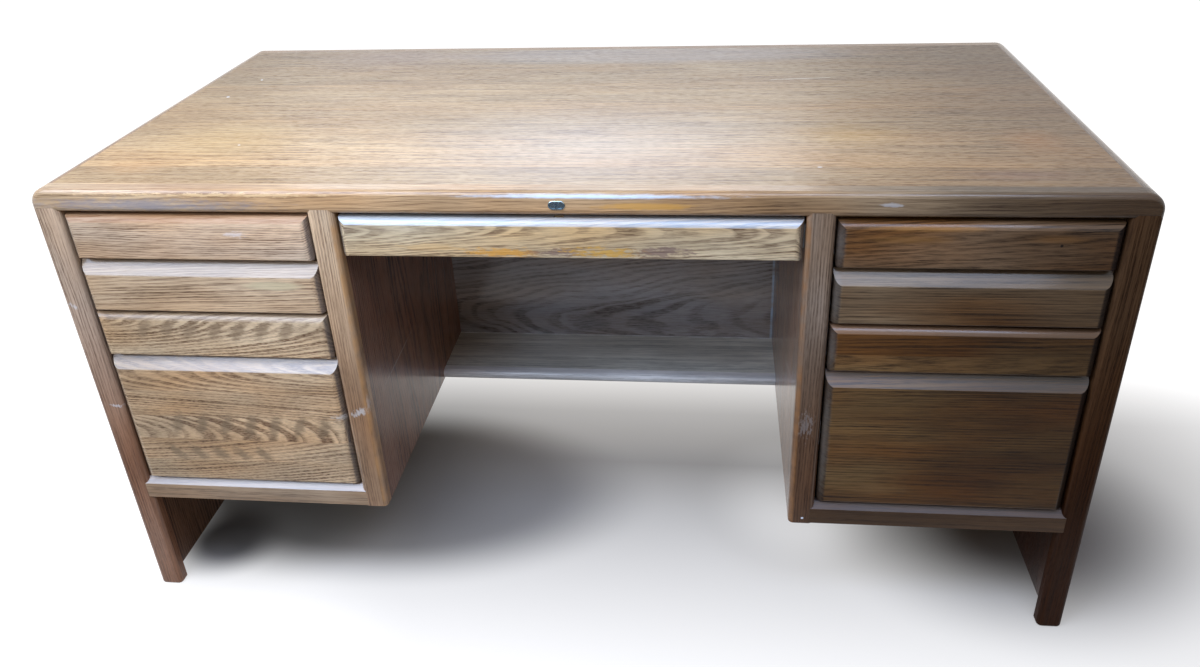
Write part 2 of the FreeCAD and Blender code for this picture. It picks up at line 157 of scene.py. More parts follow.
# Boards or veneer leaves side by side: a stepped ramp holds each one's tone, pith and lean
def leafRamp(tree, leaves, across):
    edges = [edge * mm for edge in leaves["edges"]]
    share = addNode(tree, "ShaderNodeMapRange", {0: across, 1: edges[0], 2: edges[-1]})
    ramp = addNode(tree, "ShaderNodeValToRGB", {0: share}).node
    ramp.color_ramp.interpolation = "CONSTANT"
    elements = ramp.color_ramp.elements
    for index, (tone, pithFirst, pithSecond, lean) in enumerate(leaves["boards"]):
        spot = (edges[index] - edges[0]) / (edges[-1] - edges[0])
        element = elements[0] if index == 0 else elements.new(spot)
        element.position = spot
        element.color = (tone, pithFirst / figure["leafSpan"] + 0.5, pithSecond / figure["leafSpan"] + 0.5,
                         lean + 0.5)
    elements.remove(elements[len(elements) - 1])
    return ramp.outputs


# The board's own coordinates: along the grain, and away from the pith line in both directions across it
def boardGrain(tree, board, parts):
    first, second = (axis for axis in "xyz" if axis != board["along"])
    u, v, w = parts[board["along"]], parts[first], parts[second]
    pithFirst, pithSecond = (p * mm for p in board["pith"])
    leanFirst, leanSecond = board["lean"]
    tint = None
    fromMiddle = addNode(tree, "ShaderNodeMath", {0: u, 1: -board["middle"] * mm}, operation="ADD")
    if board["leaves"]:
        colour, leaned = leafRamp(tree, board["leaves"], parts[board["leaves"]["axis"]])
        span = figure["leafSpan"] * mm
        tint, shiftFirst, shiftSecond = addNode(tree, "ShaderNodeSeparateColor", {0: colour}).node.outputs
        pithFirst = addNode(tree, "ShaderNodeMath", {0: shiftFirst, 1: span, 2: pithFirst - span / 2},
                            operation="MULTIPLY_ADD")
        pithSecond = addNode(tree, "ShaderNodeMath", {0: shiftSecond, 1: span, 2: pithSecond - span / 2},
                             operation="MULTIPLY_ADD")
        leanFirst = addNode(tree, "ShaderNodeMath", {0: leaned, 1: 0.5}, operation="SUBTRACT")
        u = addNode(tree, "ShaderNodeMath", {0: tint, 1: figure["leafSlip"], 2: u},
                    operation="MULTIPLY_ADD")
    leaned = addNode(tree, "ShaderNodeMath", {0: fromMiddle, 1: leanFirst}, operation="MULTIPLY")
    v = addNode(tree, "ShaderNodeMath", {0: v, 1: leaned}, operation="SUBTRACT")
    w = addNode(tree, "ShaderNodeMath", {0: fromMiddle, 1: -leanSecond, 2: w}, operation="MULTIPLY_ADD")
    v = addNode(tree, "ShaderNodeMath", {0: v, 1: pithFirst}, operation="SUBTRACT")
    w = addNode(tree, "ShaderNodeMath", {0: w, 1: pithSecond}, operation="SUBTRACT")
    return addNode(tree, "ShaderNodeCombineXYZ", {0: u, 1: v, 2: w}), tint


# Rings pushed about across the board by noise
def swayRings(tree, rings, grain, rate, reach):
    sway = grainNoise(tree, grain, rate, 2.0, give=1)
    sway = addNode(tree, "ShaderNodeVectorMath", {0: sway, 1: (0.5, 0.5, 0.5)}, operation="SUBTRACT")
    swing = reach * 2 * mm
    return addNode(tree, "ShaderNodeVectorMath", {0: sway, 1: (0, swing, swing), 2: rings},
                   operation="MULTIPLY_ADD")


# 1 in the porous spring wood that starts each year's ring, 0 in the dense wood after it
def springWood(tree, board, grain):
    rings = swayRings(tree, grain, grain, figure["wanderRate"], board["wander"])
    rings = swayRings(tree, rings, grain, figure["rippleRate"], board["ripple"])
    rings = addNode(tree, "ShaderNodeVectorMath", {0: rings, 1: (0, 1, 1)}, operation="MULTIPLY")
    radius = addNode(tree, "ShaderNodeVectorMath", {0: rings}, give=1, operation="LENGTH")
    count = addNode(tree, "ShaderNodeMath", {0: radius, 1: board["ring"] * mm}, operation="DIVIDE")
    years = addNode(tree, "ShaderNodeMath", {0: radius, 1: figure["yearRate"]}, operation="MULTIPLY")
    years = addNode(tree, "ShaderNodeTexNoise", {"W": years, "Scale": 1.0, "Detail": 1.0},
                    noise_dimensions="1D")
    count = addNode(tree, "ShaderNodeMath", {0: years, 1: figure["yearSpread"], 2: count},
                    operation="MULTIPLY_ADD")
    within = addNode(tree, "ShaderNodeMath", {0: count}, operation="FRACT")
    number = addNode(tree, "ShaderNodeMath", {0: count}, operation="FLOOR")
    chance = addNode(tree, "ShaderNodeTexWhiteNoise", {"W": number}, noise_dimensions="1D")
    narrow, broad = figure["springShares"]
    wide = addNode(tree, "ShaderNodeMapRange", {0: chance, 3: narrow, 4: broad})
    full = addNode(tree, "ShaderNodeMath", {0: wide, 1: -figure["springFade"]}, operation="ADD")
    early = addNode(tree, "ShaderNodeMapRange", {0: within, 1: full, 2: wide, 3: 1.0, 4: 0.0},
                    interpolation_type="SMOOTHSTEP")
    onset = addNode(tree, "ShaderNodeMapRange", {0: within, 1: figure["springOnset"]})
    early = addNode(tree, "ShaderNodeMath", {0: early, 1: onset}, operation="MAXIMUM")
    faint, deep = figure["springDepths"]
    depth = addNode(tree, "ShaderNodeMapRange", {0: chance, 3: faint, 4: deep})
    early = addNode(tree, "ShaderNodeMath", {0: early, 1: depth}, operation="MULTIPLY")
    bold = grainNoise(tree, grain, figure["boldRate"], 1.0)      # bold in some stretches, faint in others
    bold = addNode(tree, "ShaderNodeMapRange", {0: bold, **fromRange("boldRange"), 3: figure["faintShare"]})
    return addNode(tree, "ShaderNodeMath", {0: early, 1: bold}, operation="MULTIPLY")


# Wood colour: pale to warm ground, darkened by rings, pores and fibre, with a slow drift of tone
def woodColour(tree, board, grain, tint, pores, fibre):
    early = springWood(tree, board, grain)
    filled = addNode(tree, "ShaderNodeMapRange", {0: pores, 3: figure["filledShare"]})
    darkness = addNode(tree, "ShaderNodeMath", {0: early, 1: filled}, operation="MULTIPLY")
    darkness = addNode(tree, "ShaderNodeMath", {0: darkness, 1: board["earlyShare"]}, operation="MULTIPLY")
    strays = addNode(tree, "ShaderNodeMapRange", {0: early, 3: figure["strayShare"]})
    strays = addNode(tree, "ShaderNodeMath", {0: strays, 1: pores}, operation="MULTIPLY")
    darkness = addNode(tree, "ShaderNodeMath", {0: strays, 1: board["poreShare"], 2: darkness},
                       operation="MULTIPLY_ADD")
    lift = addNode(tree, "ShaderNodeMapRange", {
        0: fibre, **fromRange("fibreRange"), 3: -board["fibreShare"],
        4: board["fibreShare"] * figure["liftShare"]})
    darkness = addNode(tree, "ShaderNodeMath", {0: darkness, 1: lift}, operation="ADD", use_clamp=True)
    blotch = grainNoise(tree, grain, figure["blotchRate"], 2.0)
    blotch = addNode(tree, "ShaderNodeMapRange", {
        0: blotch, **fromRange("blotchRange"), 4: board["blotchShare"]})
    ground = addNode(tree, "ShaderNodeMix", {0: blotch, 6: hexColour(board["pale"]),
                                             7: hexColour(board["warm"])}, give=2, data_type="RGBA")
    colour = addNode(tree, "ShaderNodeMix", {0: darkness, 6: ground, 7: hexColour(board["dark"])},
                     give=2, data_type="RGBA")
    drift = grainNoise(tree, grain, figure["driftRate"], 3.0)
    drift = addNode(tree, "ShaderNodeMapRange", {
        0: drift, **fromRange("driftRange"), 3: 1 - board["drift"], 4: 1 + board["drift"]})
    colour = addNode(tree, "ShaderNodeVectorMath", {0: colour, "Scale": drift}, operation="SCALE")
    if tint is not None:
        tone = addNode(tree, "ShaderNodeMath", {0: tint, 1: 0.5}, operation="ADD")
        colour = addNode(tree, "ShaderNodeVectorMath", {0: colour, "Scale": tone}, operation="SCALE")
    return addNode(tree, "ShaderNodeVectorMath", {0: colour, 1: hexColour(board["stain"])[:3]},
                   operation="MULTIPLY")


# Painted sheen on slopes that face up, marks and seams over the wood: marks are drawn out along the grain,
# and each comes and goes
wear = {"leastSheen": 0.8, "mostSheen": 1.1, "alongShare": 0.3, "rimShare": 0.35, "rimDetail": 3.0,
        "rimRough": 0.7, "seamRate": 38.0, "leastSeam": 0.2}


# Painted sheen with some dust: slopes that face up are mixed towards a given colour, mostly paler and
# cooler, standing in for the lamps' reflection in them
def paintSlopeSheen(tree, board, colour, normal, fibre):
    upward = addNode(tree, "ShaderNodeSeparateXYZ", {0: normal}, give="Z")
    upward = addNode(tree, "ShaderNodeMapRange", {0: upward, **fromRange("slopeSheenSlopes"), 4: board["slopeSheen"]},
                     interpolation_type="SMOOTHSTEP")
    patchy = addNode(tree, "ShaderNodeMapRange", {
        0: fibre, **fromRange("patchRange"), 3: wear["leastSheen"], 4: wear["mostSheen"]})
    upward = addNode(tree, "ShaderNodeMath", {0: upward, 1: patchy}, operation="MULTIPLY")
    return addNode(tree, "ShaderNodeMix", {0: upward, 6: colour, 7: hexColour(board["slopeSheenColour"])},
                   give=2, data_type="RGBA")


# A patch of wear, stain or dust, or of painted light or shade: broken says how ragged its rim is, soft how
# wide it fades
def mark(at, half, colour, strength=0.8, broken=1.4, soft=0.45, breakScale=160.0, turn=(0, 0, 0)):
    return {"at": at, "half": half, "colour": colour, "strength": strength, "broken": broken,
            "soft": soft, "breakScale": breakScale, "turn": turn}


# 1 inside a mark's turned ellipsoid, breaking up towards its rim
def markMask(tree, place, patch, along):
    inside = addNode(tree, "ShaderNodeMapping", {
        "Vector": place, "Location": [v * mm for v in patch["at"]],
        "Rotation": [math.radians(v) for v in patch["turn"]],
        "Scale": [v * mm for v in patch["half"]]}, vector_type="TEXTURE")
    reach = addNode(tree, "ShaderNodeVectorMath", {0: inside}, give=1, operation="LENGTH")
    shares = [wear["alongShare"] if axis == along else 1.0 for axis in "xyz"]
    drawn = addNode(tree, "ShaderNodeVectorMath", {0: place, 1: shares}, operation="MULTIPLY")
    ragged = addNode(tree, "ShaderNodeTexNoise", {
        "Vector": drawn, "Scale": patch["breakScale"], "Detail": wear["rimDetail"],
        "Roughness": wear["rimRough"]})
    rim = addNode(tree, "ShaderNodeMath", {0: ragged, 1: patch["broken"], 2: reach},
                  operation="MULTIPLY_ADD")
    edge = 1.0 + patch["broken"] * wear["rimShare"]
    return addNode(tree, "ShaderNodeMapRange", {
        0: rim, 1: edge, 2: edge - patch["soft"], 4: patch["strength"]}, interpolation_type="SMOOTHSTEP")


# A broad change of tone between two places along an axis; most panes here paint shade where the light falls
# off, or a cool reflection
def pane(axis, span, colours):
    return {"axis": axis, "span": span, "colours": colours}


def paneTone(tree, parts, broad):
    start, end = (place * mm for place in broad["span"])
    share = addNode(tree, "ShaderNodeMapRange", {0: parts[broad["axis"]], 1: start, 2: end},
                    interpolation_type="SMOOTHSTEP")
    first, last = (hexColour(code) for code in broad["colours"])
    return addNode(tree, "ShaderNodeMix", {0: share, 6: first, 7: last}, give=2, data_type="RGBA")


# A worn line along an arris or a joint
def seam(axis, at, half, colour, strength=0.7):
    return {"axis": axis, "at": at, "half": half, "colour": colour, "strength": strength}


def seamMask(tree, place, parts, line):
    away = addNode(tree, "ShaderNodeMath", {0: parts[line["axis"]], 1: line["at"] * mm},
                   operation="SUBTRACT")
    away = addNode(tree, "ShaderNodeMath", {0: away}, operation="ABSOLUTE")
    drawn = addNode(tree, "ShaderNodeMapRange", {
        0: away, 1: line["half"] * mm, 2: line["half"] / 2 * mm, 4: line["strength"]})
    worn = addNode(tree, "ShaderNodeTexNoise", {
        "Vector": place, "Scale": wear["seamRate"], "Detail": wear["rimDetail"]})
    worn = addNode(tree, "ShaderNodeMapRange", {0: worn, **fromRange("wornRange"), 3: wear["leastSeam"]})
    return addNode(tree, "ShaderNodeMath", {0: drawn, 1: worn}, operation="MULTIPLY")


def oakMaterial(name, **changes):
    board = {**oak, **changes}
    material, tree = newMaterial(name)
    place = addNode(tree, "ShaderNodeTexCoord", {}, give="Object")
    parts = dict(zip("xyz", addNode(tree, "ShaderNodeSeparateXYZ", {0: place}).node.outputs))
    grain, tint = boardGrain(tree, board, parts)
    # open pores: short dark dashes, drawn several times too wide so that they show
    pores = grainNoise(tree, grain, (1 / (board["poreLong"] * mm), 1 / (board["poreWide"] * mm)), 2.0)
    pores = addNode(tree, "ShaderNodeMapRange", {0: pores, **fromRange("poreRange")})
    fibre = grainNoise(tree, grain, (figure["fibreRate"], 1 / (board["fibreWide"] * mm)), 4.0,
                       roughness=0.65)
    colour = woodColour(tree, board, grain, tint, pores, fibre)
    normal = addNode(tree, "ShaderNodeNewGeometry", {}, give="Normal")
    # painted sheen on slopes that face up
    if board["slopeSheen"]:
        colour = paintSlopeSheen(tree, board, colour, normal, fibre)
    for broad in board["panes"]:
        colour = addNode(tree, "ShaderNodeVectorMath", {0: colour, 1: paneTone(tree, parts, broad)},
                         operation="MULTIPLY")
    # sawn ends drink more stain and hold less lacquer
    facing = addNode(tree, "ShaderNodeSeparateXYZ", {0: normal}).node.outputs["xyz".index(board["along"])]
    facing = addNode(tree, "ShaderNodeMath", {0: facing}, operation="ABSOLUTE")
    sawnLow, sawnHigh = board["sawnFrom"]
    sawn = addNode(tree, "ShaderNodeMapRange", {0: facing, 1: sawnLow, 2: sawnHigh, 4: board["sawnStain"]},
                   interpolation_type="SMOOTHSTEP")
    colour = addNode(tree, "ShaderNodeMix", {0: sawn, 6: colour, 7: hexColour(board["endGrain"])},
                     give=2, data_type="RGBA")
    for patch in board["marks"]:
        mask = markMask(tree, place, patch, board["along"])
        colour = addNode(tree, "ShaderNodeMix", {0: mask, 6: colour, 7: hexColour(patch["colour"])},
                         give=2, data_type="RGBA")
    for line in board["seams"]:
        mask = seamMask(tree, place, parts, line)
        colour = addNode(tree, "ShaderNodeMix", {0: mask, 6: colour, 7: hexColour(line["colour"])},
                         give=2, data_type="RGBA")
    rough = addNode(tree, "ShaderNodeMapRange", {0: pores, 3: board["rough"],
                                                 4: board["rough"] + board["poreRough"]})
    height = addNode(tree, "ShaderNodeMath", {0: pores, 1: -1.0, 2: fibre}, operation="MULTIPLY_ADD")
    bump = addNode(tree, "ShaderNodeBump", {"Height": height, "Strength": board["bump"],
                                            "Distance": board["bumpHigh"] * mm})
    coat, gloss = (addNode(tree, "ShaderNodeMapRange", {
        0: sawn, 2: board["sawnStain"], 3: board[key], 4: board[key] * board["sawnCoat"]})
        for key in ("coat", "gloss"))
    shader = addNode(tree, "ShaderNodeBsdfPrincipled", {
        "Base Color": colour, "Roughness": rough, "Normal": bump, "IOR": board["index"],
        "Specular IOR Level": gloss, "Coat Weight": coat, "Coat Roughness": board["coatRough"],
        "Coat IOR": board["index"]})
    finishMaterial(tree, shader)
    return material


def dressBoards(boards, common, finish="lacqueredOak_"):
    for name, board in boards.items():
        dress(oakMaterial(finish + name, **{**common, **board}), name)


# Fronts, from the top of each pedestal down: every board has its own pith line
face = -372.5      # y of the drawer fronts' faces
streaky = {"broken": 2.2, "breakScale": 230.0}


# A row of slanted dark flames, as flat-cut grain shows where it dips in and out of the face
def blotchRow(start, pitch, count, height, half, turn, colour):
    return [mark((start + pitch * index, face, height), half, colour, strength=0.68, broken=1.3, soft=0.6,
                 breakScale=300.0, turn=(0, turn, 0)) for index in range(count)]


fronts = {
    "left_drawer_1_front": {
        "pith": (-290.0, 545.0), "lean": (0.05, 0.02), "ring": 3.0, "earlyShare": 0.7, "wander": 12.0,
        "middle": -540, "stain": "#fdf0e4", "slopeSheen": 0.6, "slopeSheenColour": "#8a5a30", "coat": 0.1,
        "marks": [mark((-470, face, 688), (24, 20, 8), "#e6dcd6", strength=0.34, broken=2.0,
                       breakScale=420.0)]},
    "left_drawer_2_front": {
        "pith": (-340.0, 636.0), "lean": (0.035, 0.03), "ring": 3.6, "earlyShare": 0.7, "middle": -540,
        "stain": "#f5e6d2", "slopeSheen": 0.7, "slopeSheenColour": "#8f7a62",
        "marks": [mark((-430, face, 606), (60, 20, 10), "#c9b48a", strength=0.7, broken=0.4, soft=0.5)]},
    "left_drawer_3_front": {
        "pith": (-346.0, 546.0), "lean": (0.16, 0.03), "ring": 4.6, "earlyShare": 0.8, "middle": -560,
        "stain": "#fff2dc", "slopeSheen": 0.55, "slopeSheenColour": "#84705c", "coat": 0.4,
        "marks": blotchRow(-648, 37, 7, 530, (15, 20, 34), 36, "#80664a")},
    "left_file_drawer_front": {
        "pith": (-315.0, 346.0), "lean": (0.15, 0.01), "ring": 4.8, "earlyShare": 0.86, "wander": 5.0,
        "middle": -540, "stain": "#f2e0c6", "slopeSheen": 0.6, "slopeSheenColour": "#a69a8e",
        "leaves": {"axis": "z", "edges": [240.0, 282.0, 324.0, 368.0, 416.0, 480.0],
                   "boards": [(0.42, 6, 30, 0.20), (0.55, 0, 40, 0.16), (0.60, 10, -14, 0.15),
                              (0.46, 10, -110, 0.16), (0.50, -30, 110, -0.12)]},
        "marks": [*blotchRow(-640, 40, 7, 352, (15, 20, 40), 22, "#786044"),
                  *blotchRow(-654, 36, 5, 297, (15, 20, 30), -40, "#786044"),
                  mark((-368, face, 374), (30, 20, 9), "#d8cfc0", strength=0.5, broken=2.4,
                       breakScale=420.0)]},
    "centre_drawer_front": {
        "pith": (-340.0, 700.0), "lean": (0.05, 0.01), "ring": 3.0, "wander": 9.0, "warm": "#d3a266",
        "blotchShare": 0.7, "stain": "#fffcea", "slopeSheen": 0.6, "slopeSheenColour": "#b2bdc4", "coat": 0.9,
        "earlyShare": 0.8,
        "marks": [mark((-86, face, 664), (85, 20, 12), "#d69438", **streaky),
                  mark((-8, face, 665), (70, 20, 11), "#74584e", strength=0.7, **streaky),
                  mark((56, face, 666), (85, 20, 14), "#d09838", **streaky),
                  mark((128, face, 667), (70, 20, 14), "#785c52", strength=0.7, **streaky),
                  mark((-190, face, 672), (70, 20, 8), "#d8a868", strength=0.4),
                  # painted shade at both ends of the bevel, so that its painted sheen stays in the middle
                  mark((-270, -364, 698), (150, 20, 14), "#9c8470", strength=0.35, soft=0.9),
                  mark((290, -364, 698), (130, 20, 14), "#9c8470", strength=0.2, soft=0.9)]},
    "right_drawer_1_front": {
        "pith": (-335.0, 712.0), "lean": (0.05, 0.02), "ring": 5.0, "wander": 10.0, "middle": 540,
        "stain": "#c0bcbe", "coat": 0.4,
        "marks": [mark((475, face, 706), (125, 24, 7), "#a8743c", strength=0.6, broken=0.7, soft=0.8),
                  mark((450, face, 690), (85, 20, 10), "#8f6130", strength=0.55, broken=0.7, soft=0.8),
                  mark((640, face, 692), (60, 20, 9), "#7c5228", strength=0.45, broken=0.7, soft=0.8),
                  mark((644.7, face, 683), (2.6, 6, 2.6), "#120c08", strength=0.95, broken=0.2)]},
    "right_drawer_2_front": {
        "pith": (-290.0, 420.0), "lean": (0.01, 0.01), "ring": 4.2, "wander": 3.0, "middle": 540,
        "stain": "#b5b4b2", "slopeSheen": 0.04, "slopeSheenColour": "#c0bcb8", "coat": 0.66},
    "right_drawer_3_front": {
        "pith": (-335.0, 545.0), "lean": (0.04, 0.02), "ring": 4.8, "middle": 540,
        "stain": "#aaa088", "slopeSheen": 0.4, "slopeSheenColour": "#a08068", "coat": 0.5,
        "leaves": {"axis": "z", "edges": [480.0, 510.0, 556.0],
                   "boards": [(0.62, 0, -40, 0.05), (0.42, 0, 40, 0.02)]}},
    "right_file_drawer_front": {
        "pith": (-250.0, 160.0), "lean": (0.02, 0.02), "ring": 4.2, "wander": 4.0, "middle": 540,
        "stain": "#a29677", "slopeSheen": 0.1, "slopeSheenColour": "#ccd3de", "coat": 0.72,
        "marks": [mark((450, face, 272), (70, 20, 14), "#7c5a34", strength=0.45, broken=0.9, soft=0.8)]}}
# Painted shade: the right pedestal's fronts get darker colours and stains than the left's, darker still
# towards their right ends, and dark sawn ends without lacquer, as the light falls off to the right
shadedRightFront = {"pale": "#b8946c", "dark": "#33200f", "warm": "#a46a30", "coatRough": 0.13, "gloss": 0.1,
             "earlyShare": 0.55, "blotchShare": 0.9, "fibreShare": 0.55, "drift": 0.22, "poreWide": 0.9,
             "poreShare": 0.15, "endGrain": "#2a2522", "sawnCoat": 0.0, "sawnFrom": (0.1, 0.4),
             "panes": [pane("x", (360, 720), ("#ffffff", "#bcb4aa"))]}
leftFront = {"panes": [pane("x", (-720, -360), ("#e8e6e2", "#ffffff"))]}


# Painted light: a paler, greyer patch along the left end of each right-hand front, the end that faces the
# light
litEnd = {"inset": 5, "behind": 6, "wide": 12, "deep": 18, "tallShare": 0.8, "colour": "#83796c"}


def paintedLitEnd(name):
    low, high = (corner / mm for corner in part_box(name))
    at = (low.x + litEnd["inset"], face + litEnd["behind"], (low.z + high.z) / 2)
    half = (litEnd["wide"], litEnd["deep"], (high.z - low.z) * litEnd["tallShare"])
    return mark(at, half, litEnd["colour"], strength=0.32, broken=0.8, soft=0.8)


for name, board in fronts.items():
    if name.startswith("right"):
        board = {**shadedRightFront, **board, "marks": [*board.get("marks", ()), paintedLitEnd(name)]}
    elif name.startswith("left"):
        board = {**leftFront, **board}
    dress(oakMaterial("lacqueredOak_" + name, **board), name)
print("drawer fronts dressed")

# Posts: straight-grained solid oak, worn through the stain along some arrises
postMarks = -372      # y of the marks, half a millimetre inside the posts' front faces
uprightWood = {"along": "z", "lean": (0.01, 0.01), "ring": 3.4, "wander": 4.0, "earlyShare": 0.48,
               "fibreShare": 0.42, "poreLong": 14.0}
# Painted shade: the right posts get darker stains than the left ones, and the four front posts' panes
# darken them towards the floor
uprights = {
    "left_front_stile": {
        "pith": (-1100.0, 100.0), "stain": "#dcd3cc", "coat": 0.45,
        "panes": [pane("z", (200, 760), ("#b89078", "#ffffff"))],
        "marks": [mark((-735, postMarks, 385), (22, 20, 5), "#d8cec4", strength=0.55, broken=2.6,
                       breakScale=420.0, turn=(0, 8, 0)),
                  mark((-748, postMarks, 566), (14, 20, 6), "#d8cec4", strength=0.5, broken=2.6,
                       breakScale=420.0, turn=(0, 40, 0))]},
    "left_inner_stile": {
        "pith": (280.0, 60.0), "stain": "#ffeeda",
        "seams": [seam("x", -323.5, 5.0, "#c78f55")],
        "panes": [pane("z", (380, 720), ("#bfb2a8", "#ffffff"))],
        "marks": [mark((-335, postMarks, 386), (26, 20, 11), "#d8cdc0", strength=0.6, broken=2.1,
                       breakScale=320.0, turn=(0, -20, 0)),
                  mark((-322, postMarks, 402), (3, 20, 26), "#d8cfc6", strength=0.6, breakScale=320.0)]},
    "right_inner_stile": {
        "pith": (900.0, 40.0), "stain": "#aba39f", "coat": 0.5, "gloss": 0.08,
        "seams": [seam("x", 323.5, 5.0, "#94643a")],
        "panes": [pane("z", (250, 720), ("#b0947e", "#ffffff"))],
        "marks": [mark((337, postMarks, 388), (20, 20, 40), "#a59a90", strength=0.34, broken=3.0,
                       breakScale=420.0),
                  mark((341.5, postMarks, 209), (2.6, 8, 2.6), "#ffffff", broken=0.2)]},
    "right_front_stile": {
        "pith": (1300.0, 90.0), "stain": "#5f4a38", "coat": 0.08, "gloss": 0.05,
        "panes": [pane("z", (60, 600), ("#b08a6a", "#ffffff"))]},
    "left_rear_stile": {"pith": (-1100.0, 500.0), "stain": "#a89684"},
    "right_rear_stile": {"pith": (1210.0, 520.0), "stain": "#a89684"}}
dressBoards(uprights, uprightWood)

# Rails and bands: solid oak along the desk; the right rail's darker stain, and the top's front band's marks
# and pane, carry painted light and shade
bandWood = {"lean": (0.01, 0.01), "ring": 3.6, "wander": 5.0, "earlyShare": 0.5, "fibreShare": 0.42,
            "drift": 0.2, "endGrain": "#85776a"}
bandMarksAndHighlights = [
    # painted shade on the band's upper flat to the left, and a grey painted sheen over its face there
    mark((-560, -362, 753), (380, 24, 9), "#a07a5c", strength=0.55, broken=0.9, soft=0.9),
    mark((-600, -371, 732), (290, 20, 19), "#857c7a", strength=0.75, soft=0.8),
    # painted highlight along the band's upper round: golden to the left, cool white in the middle
    mark((-480, -367, 748), (270, 24, 5), "#e0b884", strength=0.6, broken=2.2, breakScale=300.0),
    mark((40, -368, 748.5), (250, 30, 5), "#e4f1fa", strength=0.9, broken=0.7, soft=0.8),
    mark((108, -371, 735), (100, 20, 7), "#d99a3c", strength=0.6, broken=0.9),
    mark((424, -368, 739), (26, 20, 5), "#cfc6bd", strength=0.5)]
bands = {
    "left_bottom_rail": {"pith": (-700.0, 330.0), "stain": "#c1b2a1", "slopeSheen": 0.4, "slopeSheenColour": "#b0aeac"},
    # a darker stain than the left rail: painted shade
    "right_bottom_rail": {"pith": (-700.0, 340.0), "stain": "#5c4733", "slopeSheen": 0.06,
                          "slopeSheenColour": "#ccd3de", "coat": 0.4, "gloss": 0.1},
    "top_front_edge": {
        "pith": (-480.0, 650.0), "stain": "#e4d2b8", "coat": 0.5, "wander": 9.0, "marks": bandMarksAndHighlights,
        # darker towards the right end: painted shade
        "panes": [pane("x", (60, 740), ("#ffffff", "#68605a"))]},
    "top_back_edge": {"pith": (650.0, 650.0), "stain": "#b09878"},
    # near-white wood and a pale slope sheen on the shelf's nose: painted highlight
    "kneehole_shelf_edge": {
        "pith": (-460.0, 260.0), "pale": "#ffffff", "dark": "#b0aeae", "warm": "#e8e0d8",
        "stain": "#fbf9f6", "slopeSheen": 0.2, "slopeSheenColour": "#f0f1f6"}}
dressBoards(bands, bandWood)
endWood = {"along": "y", "pith": (1600.0, 640.0), "lean": (0.01, 0.01), "ring": 2.8}
# the right end's darker stain is painted shade
dressBoards({"top_left_edge": {"stain": "#b89c7c"}, "top_right_edge": {"stain": "#8c745c"}}, endWood)
print("frame dressed")

# Top: six leaves of rift-cut oak veneer, so straight fine lines, under lacquer. Its marks paint a pale
# sheen over the middle, a cool reflection along the back and darker far corners, besides scratches and tone
# patches, and its panes paint it darker to the right and cooler to the back.
# Its pores and fibre are drawn coarser than real ones, as finer ones don't show at this distance.
topFace = 755      # z of the work surface
cloudy = {"broken": 0.4, "soft": 1.0}
topMarksAndPaintedLight = [
    # painted sheen over the middle
    mark((20, -200, topFace), (420, 280, 30), "#e6ebf2", strength=0.17, broken=0.3, soft=1.0),
    # painted cool reflection along the back
    mark((60, 305, topFace), (560, 88, 9), "#b4b4b8", strength=0.24, broken=0.3, soft=0.6),
    # painted dark reflections at the far left and far right
    mark((-440, 300, topFace), (240, 120, 9), "#8d7468", strength=0.46, **cloudy),
    mark((250, 300, topFace), (190, 100, 9), "#9a7f66", strength=0.1, **cloudy),
    mark((-665, 49, topFace), (4, 3, 9), "#ffffff", broken=0.3),
    mark((-648, 153, topFace), (3, 3, 9), "#ffffff", broken=0.3),
    mark((-530, -195, topFace), (3, 2, 9), "#ffffff", broken=0.3),
    mark((343, -282, topFace), (5, 2, 9), "#f4ece0", broken=0.6),
    mark((348, 135, topFace), (72, 2.5, 9), "#e8dcc8", strength=0.6, turn=(0, 0, 6)),
    mark((-560, -170, topFace), (190, 130, 9), "#dcb06a", strength=0.32, **cloudy),
    mark((-650, -290, topFace), (90, 40, 9), "#c48f58", strength=0.4, broken=0.5, soft=1.0),
    mark((400, -150, topFace), (130, 70, 9), "#c9963e", strength=0.3, **cloudy),
    mark((655, -180, topFace), (70, 70, 9), "#a8682c", strength=0.35, **cloudy),
    mark((600, -310, topFace), (120, 30, 9), "#7c5448", strength=0.35, **cloudy)]
topSheet = {
    "pith": (-1500.0, 500.0), "lean": (0.004, 0.01), "ring": 3.4, "ripple": 0.8,
    "stain": "#e0caa6", "dark": "#765638", "warm": "#cf9f62",
    "earlyShare": 0.42, "poreShare": 0.36, "blotchShare": 0.36, "fibreShare": 0.56, "drift": 0.09,
    "poreWide": 2.0, "poreLong": 14.0, "fibreWide": 3.4, "bump": 0.4,
    "rough": 0.36, "coat": 0.35, "coatRough": 0.25, "marks": topMarksAndPaintedLight,
    # darker to the right: painted shade; cooler to the back: painted reflection
    "panes": [pane("x", (250, 760), ("#ffffff", "#bab0a6")),
              pane("y", (-350, 250), ("#ffffff", "#dcdfe2"))],
    "leaves": {"axis": "y", "edges": [-350.0, -285.0, -155.0, -36.0, 114.0, 238.0, 350.0],
               "boards": [(0.33, 0, 0, 0.004), (0.64, 30, 0, -0.006), (0.47, -60, 0, 0.008),
                          (0.58, 90, 0, -0.004), (0.48, -30, 0, 0.006), (0.34, 60, 0, 0.003)]}}
dress(oakMaterial("oakVeneer_top", **topSheet), "top_panel")

